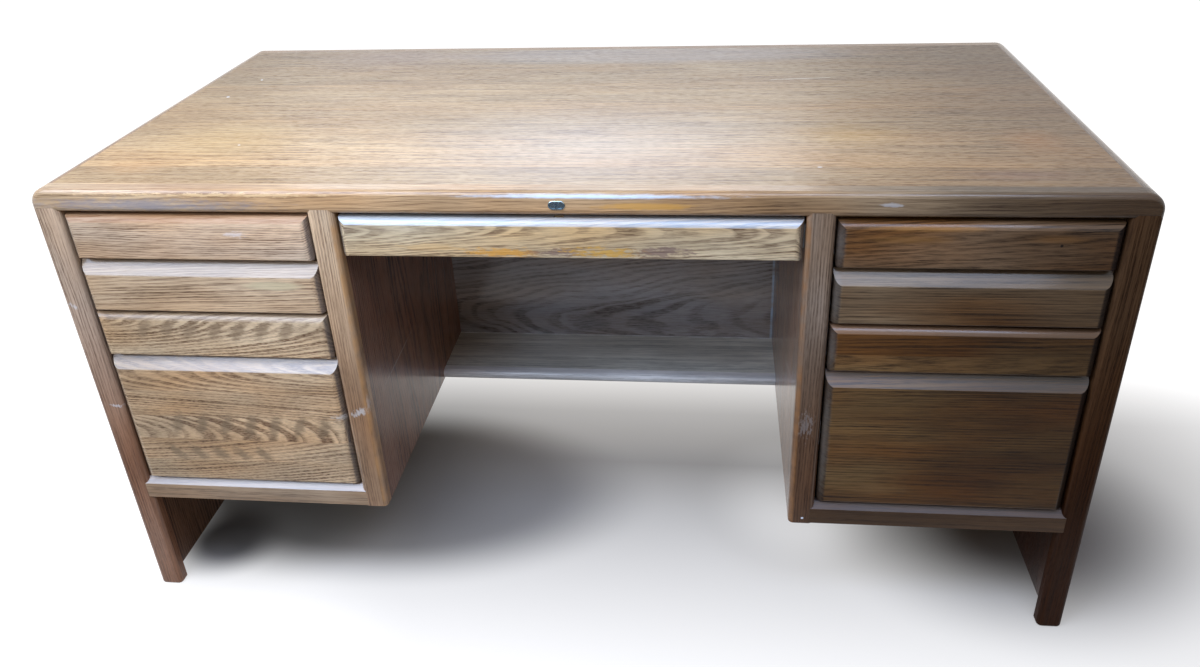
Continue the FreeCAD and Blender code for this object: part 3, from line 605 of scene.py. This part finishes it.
# Panels: wide flat-cut veneer sheets, so broad flames, with a long scratch on each kneehole side
sheetWood = {"along": "z", "lean": (0.02, 0.05), "ring": 3.6, "wander": 8.0}
panels = {
    # the right kneehole panel, which faces the light, is given a paler stain than the left one: painted
    # light
    "left_kneehole_panel": {
        "pith": (-700.0, -100.0), "stain": "#a6806f",
        "marks": [mark((-320.8, -215, 390), (6, 104, 1.6), "#b8aaa0", strength=0.6, broken=1.0,
                       breakScale=90.0, turn=(3, 0, 0))]},
    "right_kneehole_panel": {
        "pith": (700.0, 40.0), "stain": "#beaa9e",
        "marks": [mark((320.8, -230, 392), (6, 130, 1.4), "#c8beb6", strength=0.5, broken=1.0,
                       breakScale=90.0, turn=(-19, 0, 0))]},
    # the end panels' panes darken their inner faces under the pedestals: painted shade
    "left_end_panel": {"pith": (-1190.0, 0.0), "stain": "#a08874",
                       "panes": [pane("x", (-750, -742), ("#ffffff", "#e0d6da"))]},
    "right_end_panel": {"pith": (1190.0, 0.0), "stain": "#a08874",
                        "panes": [pane("x", (742, 750), ("#7a5c50", "#ffffff"))]},
    "left_pedestal_back": {"pith": (-540.0, 280.0), "stain": "#b29a80"},
    "right_pedestal_back": {"pith": (540.0, 280.0), "stain": "#b29a80"}}
dressBoards(panels, sheetWood, "oakVeneer_")

# Recess: the modesty panel's front is given a cool blue stain, a painted reflection, with a pale line where
# it meets the side and the shelf; the shelf is given near-white wood, painted light with some dust
recess = {"inset": 2.0, "skin": 4.0, "seamHalf": 3.0}
recessLow, recessHigh = (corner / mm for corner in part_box("modesty_panel"))
modestySheet = {
    "pith": (-60.0, 262.0), "lean": (0.06, 0.02), "ring": 4.6, "wander": 14.0, "earlyShare": 0.75,
    "seams": [seam("x", recessHigh.x - recess["inset"], recess["seamHalf"], "#c4dcf4")],
    "panes": [pane("y", (recessLow.y + recess["skin"], recessHigh.y - recess["skin"]),
                   ("#c2d4fa", "#b09878"))]}
shelfSheet = {
    "pith": (-660.0, 100.0), "lean": (0.01, 0.01), "ring": 4.0, "wander": 3.0, "stain": "#eeede2",
    "pale": "#ffffff", "dark": "#b0aeae", "warm": "#e8e0d8",
    "seams": [seam("y", recessLow.y - recess["inset"], recess["seamHalf"], "#ffffff")]}
dress(oakMaterial("oakVeneer_modesty", **modestySheet), "modesty_panel")
dress(oakMaterial("oakVeneer_shelf", **shelfSheet), "kneehole_shelf")
print("panels dressed")

# Inside: poplar drawer boxes and plain ply, so pale wood that was never stained or lacquered
innerWood = {"along": "y", "pale": "#cdb083", "dark": "#a5855a", "warm": "#c9a774", "endGrain": "#a98e66",
             "earlyShare": 0.35, "poreShare": 0.108, "rough": 0.5, "coat": 0.0}
boxes = [name for name in cadNodes if name.endswith("_box")]
dress(oakMaterial("clearPoplar_boxes", pith=(0.0, 150.0), ring=4.5, **innerWood), *boxes)
dress(oakMaterial("plainPly_inside", pith=(0.0, 100.0), ring=4.0, **innerWood),
      "left_pedestal_bottom", "right_pedestal_bottom", "top_cleats", "slide_cleats")

# Zinc-plated or nickelled steel: grey metal reflections, broken by faint rolling streaks lengthways.
# The rate is streaks per metre on x, y and z.
steel = {"streakRate": (900.0, 30.0, 900.0), "streakLow": 0.3, "streakHigh": 0.7, "roughSpread": 0.06,
         "highlightSlope": 0.4}


# upperHighlight is a painted highlight: the paler colour mixed in on slopes that face up
def steelMaterial(name, colour, rough, streak, upperHighlight=None):
    material, tree = newMaterial(name)
    place = addNode(tree, "ShaderNodeTexCoord", {}, give="Object")
    stretched = addNode(tree, "ShaderNodeVectorMath", {0: place, 1: steel["streakRate"]},
                        operation="MULTIPLY")
    streaks = addNode(tree, "ShaderNodeTexNoise", {"Vector": stretched, "Scale": 1.0, "Detail": 2.0})
    streaks = addNode(tree, "ShaderNodeMapRange", {
        0: streaks, 1: steel["streakLow"], 2: steel["streakHigh"]})
    tone = addNode(tree, "ShaderNodeMapRange", {0: streaks, 3: 1 - streak, 4: 1 + streak})
    base = addNode(tree, "ShaderNodeVectorMath", {0: hexColour(colour)[:3], "Scale": tone},
                   operation="SCALE")
    if upperHighlight:
        normal = addNode(tree, "ShaderNodeNewGeometry", {}, give="Normal")
        slope = addNode(tree, "ShaderNodeSeparateXYZ", {0: normal}, give="Z")
        slope = addNode(tree, "ShaderNodeMapRange", {0: slope, 2: steel["highlightSlope"]})
        base = addNode(tree, "ShaderNodeMix", {0: slope, 6: base, 7: hexColour(upperHighlight)},
                       give=2, data_type="RGBA")
    roughness = addNode(tree, "ShaderNodeMapRange", {
        0: streaks, 3: rough - steel["roughSpread"], 4: rough + steel["roughSpread"]})
    finishMaterial(tree, addNode(tree, "ShaderNodeBsdfPrincipled", {
        "Base Color": base, "Roughness": roughness, "Metallic": 1.0}))
    return material


slideSteel = steelMaterial("zincPlatedSteel", "#b4b6b8", 0.36, 0.08)
# the lock's case and plug are paler on slopes that face up: painted highlight
lockSteel = steelMaterial("dullNickel", "#8fa4b0", 0.24, 0.05, "#b4c8d2")
plugSteel = steelMaterial("darkNickel", "#90a6b6", 0.26, 0.05, "#b4c8d2")
slidePieces = [name for name in cadNodes if "slides" in name or "middles" in name or "members" in name]
dress(slideSteel, "lock_bolt", *slidePieces)
dress(lockSteel, "lock_case")
dress(plugSteel, "lock_plug")
print("metal dressed")

# Pan-head screws with a cross recess hold the slides to the boxes and the cabinet, and the boxes
# to their fronts
screw = {"radius": 3.6, "height": 1.9, "recess": 1.1, "segments": 12, "seed": 7,
         "profileShares": ((1.0, 0.0), (1.0, 0.4), (0.85, 0.8), (0.6, 1.0)), "crossShares": (0.5, 0.2),
         "taperShare": 0.75,
         "boxBoard": 12.7, "slideDeep": 12.7, "slideWeb": 1.2,
         "movingPlaces": (45, 170, 300, 420), "fixedPlaces": (80, 235, 370), "frontInset": 55.0,
         "frontShares": (0.5, 0.82)}


def panHead():
    segments, wide, high = screw["segments"], screw["radius"] * mm, screw["height"] * mm
    arm, notch = screw["crossShares"]
    cross = [arm if index % 3 == 0 else notch for index in range(segments)]
    bottom = [share * screw["taperShare"] for share in cross]
    rings = [([share] * segments, high * level) for share, level in screw["profileShares"]]
    rings += [(cross, high), (bottom, high - screw["recess"] * mm)]
    vertices, faces = [], []
    for shares, level in rings:
        for index, share in enumerate(shares):
            angle = math.tau * index / segments
            vertices.append((wide * share * math.cos(angle), wide * share * math.sin(angle), level))
    for ring in range(len(rings) - 1):
        for index in range(segments):
            after = (index + 1) % segments
            here, there = ring * segments + index, ring * segments + after
            faces.append((here, there, there + segments, here + segments))
    faces.append(tuple(range((len(rings) - 1) * segments, len(rings) * segments)))
    faces.append(tuple(reversed(range(segments))))
    mesh = bpy.data.meshes.new("panHead")
    mesh.from_pydata(vertices, [], faces)
    return bpy.data.objects.new("panHead", mesh)


def screwTree(material):
    tree = bpy.data.node_groups.new("screws", "GeometryNodeTree")
    sockets = {}
    for name, kind in (("Spots", "Geometry"), ("Head", "Object"), ("Seed", "Int")):
        socket = tree.interface.new_socket(name, in_out="INPUT", socket_type="NodeSocket" + kind)
        sockets[name] = socket.identifier
    tree.interface.new_socket("Screws", in_out="OUTPUT", socket_type="NodeSocketGeometry")
    given = addNode(tree, "NodeGroupInput", {}).node.outputs
    facing = addNode(tree, "GeometryNodeInputNamedAttribute", {"Name": "facing"}, data_type="FLOAT_VECTOR")
    upright = addNode(tree, "FunctionNodeAlignRotationToVector", {"Vector": facing}, axis="Z")
    spin = addNode(tree, "FunctionNodeRandomValue", {2: 0.0, 3: math.tau, "Seed": given["Seed"]}, give=1,
                   data_type="FLOAT")
    spin = addNode(tree, "ShaderNodeCombineXYZ", {2: spin})
    spin = addNode(tree, "FunctionNodeEulerToRotation", {0: spin})
    turned = addNode(tree, "FunctionNodeRotateRotation", {0: upright, 1: spin}, rotation_space="LOCAL")
    head = addNode(tree, "GeometryNodeObjectInfo", {"Object": given["Head"]}, give="Geometry")
    placed = addNode(tree, "GeometryNodeInstanceOnPoints", {
        "Points": given["Spots"], "Instance": head, "Rotation": turned})
    real = addNode(tree, "GeometryNodeRealizeInstances", {0: placed})
    done = addNode(tree, "GeometryNodeSetMaterial", {"Geometry": real, "Material": material})
    addNode(tree, "NodeGroupOutput", {0: done})
    return tree, sockets


def driveScrews(body, spots, head, tree, sockets):
    mesh = bpy.data.meshes.new("screwSpots")
    mesh.from_pydata([place for place, facing in spots], [], [])
    towards = mesh.attributes.new("facing", "FLOAT_VECTOR", "POINT")
    for index, (place, facing) in enumerate(spots):
        towards.data[index].vector = facing
    screws = bpy.data.objects.new("screws_" + body, mesh)
    bpy.context.scene.collection.objects.link(screws)
    modifier = screws.modifiers.new("screws", "NODES")
    modifier.node_group = tree
    modifier[sockets["Head"]] = head
    modifier[sockets["Seed"]] = screw["seed"]
    grown = screws.evaluated_get(bpy.context.evaluated_depsgraph_get())
    result = bpy.data.meshes.new_from_object(grown)
    screws.modifiers.clear()
    screws.data = result
    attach(screws, body)
    return len(result.polygons)


def screwSpots(body):
    low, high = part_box(body + "_box")
    slideLow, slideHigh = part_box(body + "_slides")
    level = (slideLow.z + slideHigh.z) / 2
    web, deep = screw["slideWeb"] * mm, screw["slideDeep"] * mm
    moving = [((x, slideLow.y + place * mm, level), (facing, 0, 0))
              for x, facing in ((low.x - web, -1), (high.x + web, 1)) for place in screw["movingPlaces"]
              if slideLow.y + place * mm < slideHigh.y]
    fixed = [((x, slideLow.y + place * mm, level), (facing, 0, 0))
             for x, facing in ((low.x - deep + web, 1), (high.x + deep - web, -1))
             for place in screw["fixedPlaces"]]
    inset = screw["frontInset"] * mm
    inside = low.y + screw["boxBoard"] * mm
    moving += [((x, inside, low.z + share * (high.z - low.z)), (0, 1, 0))
               for x in (low.x + inset, high.x - inset) for share in screw["frontShares"]]
    return moving, fixed


def fitScrews():
    head = panHead()
    tree, sockets = screwTree(slideSteel)
    cabinetSpots, faces = [], 0
    for body in frame["bodies"]:
        if body + "_box" in cadNodes:
            moving, fixed = screwSpots(body)
            faces += driveScrews(body, moving, head, tree, sockets)
            if "file" not in body:
                cabinetSpots += fixed
    faces += driveScrews("cabinet", cabinetSpots, head, tree, sockets)
    bpy.data.objects.remove(head)
    print("screws fitted", faces, "faces")


fitScrews()

# Camera solved from the photograph's straight edges, for a frame of 1200 x 667
shot = {"wide": 1200.0, "high": 667.0, "focal": 942.9, "centre": (612.8, 259.2),
        "at": (0.1955, -1.5056, 1.2436), "pitch": 27.244, "roll": 2.368, "yaw": 6.638,
        "sensor": 36.0, "farEnd": 100.0}


def aimCamera():
    pitch, roll, yaw = (math.radians(shot[key]) for key in ("pitch", "roll", "yaw"))
    level = math.cos(pitch)
    forward = Vector((-math.sin(yaw) * level, math.cos(yaw) * level, -math.sin(pitch)))
    right = Vector((math.cos(yaw), math.sin(yaw), 0))
    down = forward.cross(right)
    turnedRight = math.cos(roll) * right + math.sin(roll) * down
    turnedDown = -math.sin(roll) * right + math.cos(roll) * down
    data = bpy.data.cameras.new("camera")
    data.sensor_width = shot["sensor"]
    data.lens = shot["focal"] * shot["sensor"] / shot["wide"]
    data.shift_x = (shot["wide"] / 2 - shot["centre"][0]) / shot["wide"]
    data.shift_y = (shot["centre"][1] - shot["high"] / 2) / shot["wide"]
    data.clip_end = shot["farEnd"]
    camera = bpy.data.objects.new("camera", data)
    axes = Matrix((turnedRight, -turnedDown, -forward)).transposed()
    camera.matrix_world = Matrix.Translation(shot["at"]) @ axes.to_4x4()
    bpy.context.scene.collection.objects.link(camera)
    bpy.context.scene.camera = camera


aimCamera()

# Plain studio, in metres: a pale floor, a window-like box to the left, strips over the front and boxes
# behind. Pools are soft ellipses that paint the desk's shadow into the floor's glow by holding it back, or
# paint brighter patches by adding to it.
studio = {"floorReach": 14.0, "floorColour": "#8f857a", "floorRough": 0.9, "floorGloss": 0.1,
          "ambient": 0.12, "glow": 1.0, "fade": (-0.1, 0.68),
          "rightEdge": 0.84, "leftEdge": -0.7, "leftSteep": 5.0, "rearShift": 0.2, "rearSteep": 2.2,
          "besideGaps": (0.005, 0.06), "mirrorFrom": (-0.66, -0.52),
          "pools": [{"at": (-0.44, -0.10), "half": (0.55, 0.27), "core": 0.58, "inner": 0.07},
                    {"at": (-0.69, -0.26), "half": (0.12, 0.11), "core": 0.3, "inner": 0.0},
                    {"at": (0.75, -0.15), "half": (0.38, 0.31), "core": 0.2, "inner": 0.0},
                    {"at": (0.37, -0.08), "half": (0.20, 0.20), "core": 0.2, "inner": 1.7},
                    {"at": (-0.65, -0.50), "half": (0.40, 0.25), "core": 0.2, "inner": 1.3}],
          "footShadowPool": {"at": (-0.62, -0.22), "half": (0.24, 0.18), "core": 0.3, "inner": 0.35}}
lamps = {
    "window": {"at": (-0.98, -1.14, 1.60), "aim": (-0.54, -0.25, 0.42), "size": (1.5, 1.0), "power": 42.0,
               "colour": "#cfe1ff"},
    "overStrip": {"at": (0.0, -1.22, 2.30), "aim": (0.0, -0.37, 0.70), "size": (2.4, 0.5), "power": 32.0,
                  "colour": "#b4ceff"},
    "frontStrip": {"at": (0.75, -1.75, 2.30), "aim": (0.50, -0.35, 0.60), "size": (1.2, 0.5), "power": 11.0,
                   "colour": "#cfe1ff"},
    "rearBox": {"at": (-0.6, 1.5, 2.3), "aim": (-0.1, 0.5, 0.0), "size": (1.4, 0.8), "power": 8.0,
                "colour": "#fbfcff"},
    "backBox": {"at": (-0.6, 2.9, 2.42), "aim": (-0.1, 0.0, 0.75), "size": (2.7, 1.0), "power": 30.0,
                "colour": "#f4f8ff"}}


def addLamp(name, lamp):
    data = bpy.data.lights.new(name, "AREA")
    data.shape = "RECTANGLE"
    data.size, data.size_y = lamp["size"]
    data.energy = lamp["power"]
    data.color = hexColour(lamp["colour"])[:3]
    light = bpy.data.objects.new(name, data)
    light.visible_camera = False
    toward = Vector(lamp["aim"]) - Vector(lamp["at"])
    turned = toward.to_track_quat("-Z", "Y").to_matrix().to_4x4()
    light.matrix_world = Matrix.Translation(lamp["at"]) @ turned
    bpy.context.scene.collection.objects.link(light)


for name, lamp in lamps.items():
    addLamp(name, lamp)


# 1 for the camera and for reflections; where and how far reflections see it can be limited
def seenByEye(tree, mirrored=1.0):
    ray = addNode(tree, "ShaderNodeLightPath", {}).node.outputs
    bounced = addNode(tree, "ShaderNodeMath", {0: ray["Is Glossy Ray"], 1: ray["Is Transmission Ray"]},
                      operation="MAXIMUM")
    bounced = addNode(tree, "ShaderNodeMath", {0: bounced, 1: mirrored}, operation="MULTIPLY")
    return addNode(tree, "ShaderNodeMath", {0: ray["Is Camera Ray"], 1: bounced}, operation="MAXIMUM")


# 1 outside a soft ellipse on the floor; inside, less than 1 where it paints shadow, more where it paints
# light
def poolMask(tree, place, pool):
    inside = addNode(tree, "ShaderNodeVectorMath", {0: place, 1: (*pool["at"], 0)}, operation="SUBTRACT")
    inside = addNode(tree, "ShaderNodeVectorMath", {0: inside, 1: (*pool["half"], 1)}, operation="DIVIDE")
    inside = addNode(tree, "ShaderNodeVectorMath", {0: inside}, give=1, operation="LENGTH")
    return addNode(tree, "ShaderNodeMapRange", {0: inside, 1: pool["core"], 3: pool["inner"]},
                   interpolation_type="SMOOTHSTEP")


# Painted shadow: the glow is faint under the desk and grows to the full one away from it, steeply on the
# left and behind
def floorGlow(tree, place, across, forward):
    rightward = addNode(tree, "ShaderNodeMath", {0: across, 1: -studio["rightEdge"]}, operation="ADD")
    leftward = addNode(tree, "ShaderNodeMath", {
        0: across, 1: -studio["leftSteep"], 2: studio["leftSteep"] * studio["leftEdge"]},
        operation="MULTIPLY_ADD")
    sideways = addNode(tree, "ShaderNodeMath", {0: rightward, 1: leftward}, operation="MAXIMUM")
    sideways = addNode(tree, "ShaderNodeMath", {0: sideways, 1: 0.0}, operation="MAXIMUM")
    lengthways = addNode(tree, "ShaderNodeMath", {0: forward}, operation="ABSOLUTE")
    rearward = addNode(tree, "ShaderNodeMath", {
        0: forward, 1: studio["rearSteep"], 2: -studio["rearShift"]}, operation="MULTIPLY_ADD")
    lengthways = addNode(tree, "ShaderNodeMath", {0: lengthways, 1: rearward}, operation="MAXIMUM")
    away = addNode(tree, "ShaderNodeCombineXYZ", {0: sideways, 1: lengthways})
    away = addNode(tree, "ShaderNodeVectorMath", {0: away}, give=1, operation="LENGTH")
    near, far = studio["fade"]
    glow = addNode(tree, "ShaderNodeMapRange", {0: away, 1: near, 2: far, 4: studio["glow"]})
    for pool in studio["pools"]:
        glow = addNode(tree, "ShaderNodeMath", {0: glow, 1: poolMask(tree, place, pool)},
                       operation="MULTIPLY")
    near, far = (cadLow.x - gap for gap in studio["besideGaps"])
    beside = addNode(tree, "ShaderNodeMapRange", {0: across, 1: near, 2: far, 4: studio["glow"]})
    return addNode(tree, "ShaderNodeMath", {0: glow, 1: beside}, operation="MAXIMUM")


def buildFloor():
    reach = studio["floorReach"]
    mesh = bpy.data.meshes.new("floor")
    corners = [(-reach, -reach, 0), (reach, -reach, 0), (reach, reach, 0), (-reach, reach, 0)]
    mesh.from_pydata(corners, [], [(0, 1, 2, 3)])
    floor = bpy.data.objects.new("floor", mesh)
    bpy.context.scene.collection.objects.link(floor)
    material, tree = newMaterial("paleFloor")
    # matt paint, which takes the shadow and goes over into white away from the desk; the white is only
    # for the camera and for reflections
    place = addNode(tree, "ShaderNodeTexCoord", {}, give="Object")
    across, forward = addNode(tree, "ShaderNodeSeparateXYZ", {0: place}).node.outputs[:2]
    glow = floorGlow(tree, place, across, forward)
    # the floor's colour is darkened by the left foot: painted shadow
    colour = addNode(tree, "ShaderNodeVectorMath", {
        0: hexColour(studio["floorColour"])[:3], "Scale": poolMask(tree, place, studio["footShadowPool"])},
        operation="SCALE")
    # the fronts mirror a plain floor before the desk, and the white one beside and behind it
    plain, white = studio["mirrorFrom"]
    beyond = addNode(tree, "ShaderNodeMapRange", {0: forward, 1: plain, 2: white})
    strength = addNode(tree, "ShaderNodeMath", {0: glow, 1: seenByEye(tree, beyond)}, operation="MULTIPLY")
    shader = addNode(tree, "ShaderNodeBsdfPrincipled", {
        "Base Color": colour, "Roughness": studio["floorRough"], "Specular IOR Level": studio["floorGloss"],
        "Emission Color": (1, 1, 1, 1), "Emission Strength": strength})
    finishMaterial(tree, shader)
    mesh.materials.append(material)


def lightWorld():
    world = bpy.data.worlds.new("studioWorld")
    bpy.context.scene.world = world
    world.use_nodes = True
    tree = world.node_tree
    tree.nodes.clear()
    strength = addNode(tree, "ShaderNodeMapRange", {0: seenByEye(tree), 3: studio["ambient"]})
    glow = addNode(tree, "ShaderNodeBackground", {"Color": (1, 1, 1, 1), "Strength": strength})
    addNode(tree, "ShaderNodeOutputWorld", {"Surface": glow})


buildFloor()
lightWorld()
bpy.context.scene.view_settings.view_transform = "Standard"
print("studio set")
